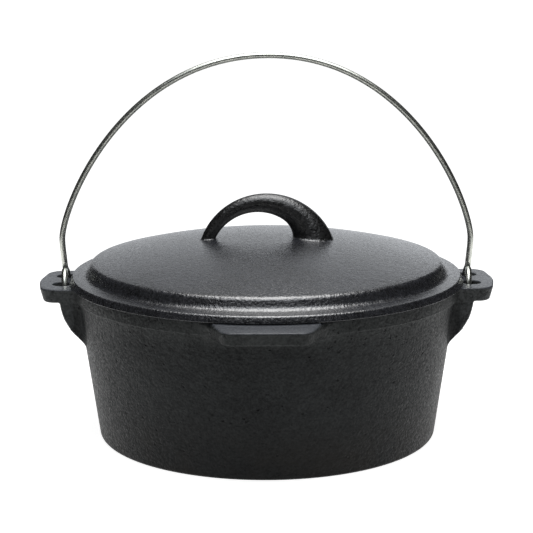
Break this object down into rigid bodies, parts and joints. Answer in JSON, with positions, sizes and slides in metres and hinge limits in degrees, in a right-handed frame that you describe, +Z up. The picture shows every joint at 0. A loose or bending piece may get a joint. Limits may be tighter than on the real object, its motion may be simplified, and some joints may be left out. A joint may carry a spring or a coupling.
{
  "type": "cast iron pot",
  "caption": "Flat-bottomed cast iron pot with drilled ears, grip tabs, a domed lid with a horn-shaped loop handle and a swinging wire bail, for cooking over a camp fire.",
  "frame": {"origin": "centre of the flat underside, on the surface that the pot stands on", "axes": "+Z up, +X towards one ear, -Y towards the front tab"},
  "size_m": [0.3098, 0.3062, 0.2605],
  "materials": {
    "pot_iron": "black seasoned iron with a fine sand-cast grain, satin",
    "lid_iron": "black seasoned iron with a fine sand-cast grain, satin with a glossier handle",
    "zinc_plated_wire": "bright zinc plating on drawn steel wire"
  },
  "bodies": {
    "pot": {"pot": "pot_iron"},
    "lid": {"lid": "lid_iron"},
    "bail": {"bail": "zinc_plated_wire"}
  },
  "joints": [
    {"name": "lid_lift", "type": "slide", "parent": "pot", "child": "lid", "axis": [0, 0, 1], "range_m": [0, 0.035]},
    {"name": "bail_swing", "type": "hinge", "parent": "pot", "child": "bail", "pos_m": [0, 0, 0.1016], "axis": [1, 0, 0], "range_deg": [-68, 68]}
  ]
}
